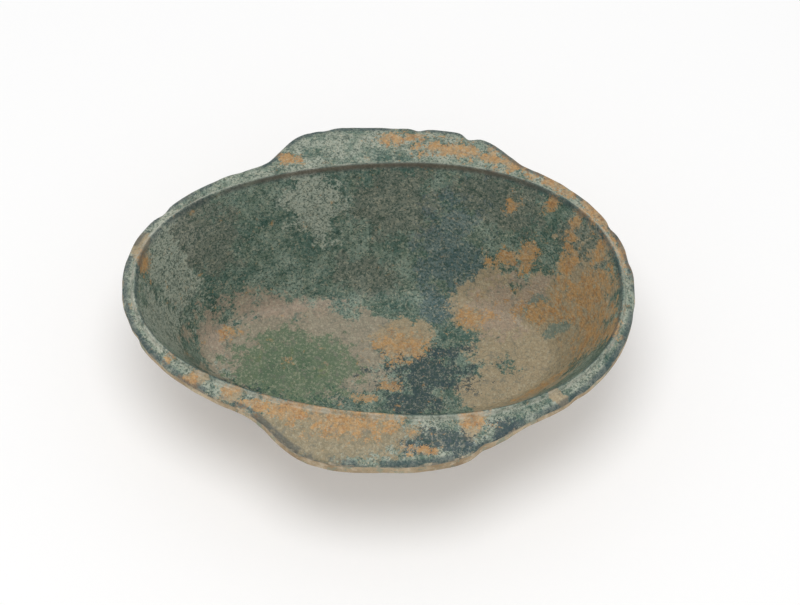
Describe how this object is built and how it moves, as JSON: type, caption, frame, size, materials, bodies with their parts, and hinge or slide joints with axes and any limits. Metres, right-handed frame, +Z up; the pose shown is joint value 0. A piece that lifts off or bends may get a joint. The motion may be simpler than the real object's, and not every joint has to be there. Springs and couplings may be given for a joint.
{
  "type": "ear cup",
  "caption": "Shallow oval wine cup with a flat ear along each long side, a ridged lip and a low oval foot, glazed green inside over bare clay.",
  "frame": {"origin": "on the table under the middle of the cup's outline, at the underside of the foot", "axes": "+X along the cup towards its fuller end, +Y across it towards the back ear, +Z up"},
  "size_m": [0.11, 0.086, 0.034],
  "materials": {
    "earthenware": "matt, fine-grained bare clay, stained by burial",
    "green_glaze": "weathered, finely crackled green lead glaze, worn through to tan clay in patches"
  },
  "bodies": {
    "root": {"foot": "earthenware", "bowl": "earthenware", "ear_back": "earthenware", "ear_front": "earthenware", "glaze": "green_glaze"}
  },
  "joints": []
}
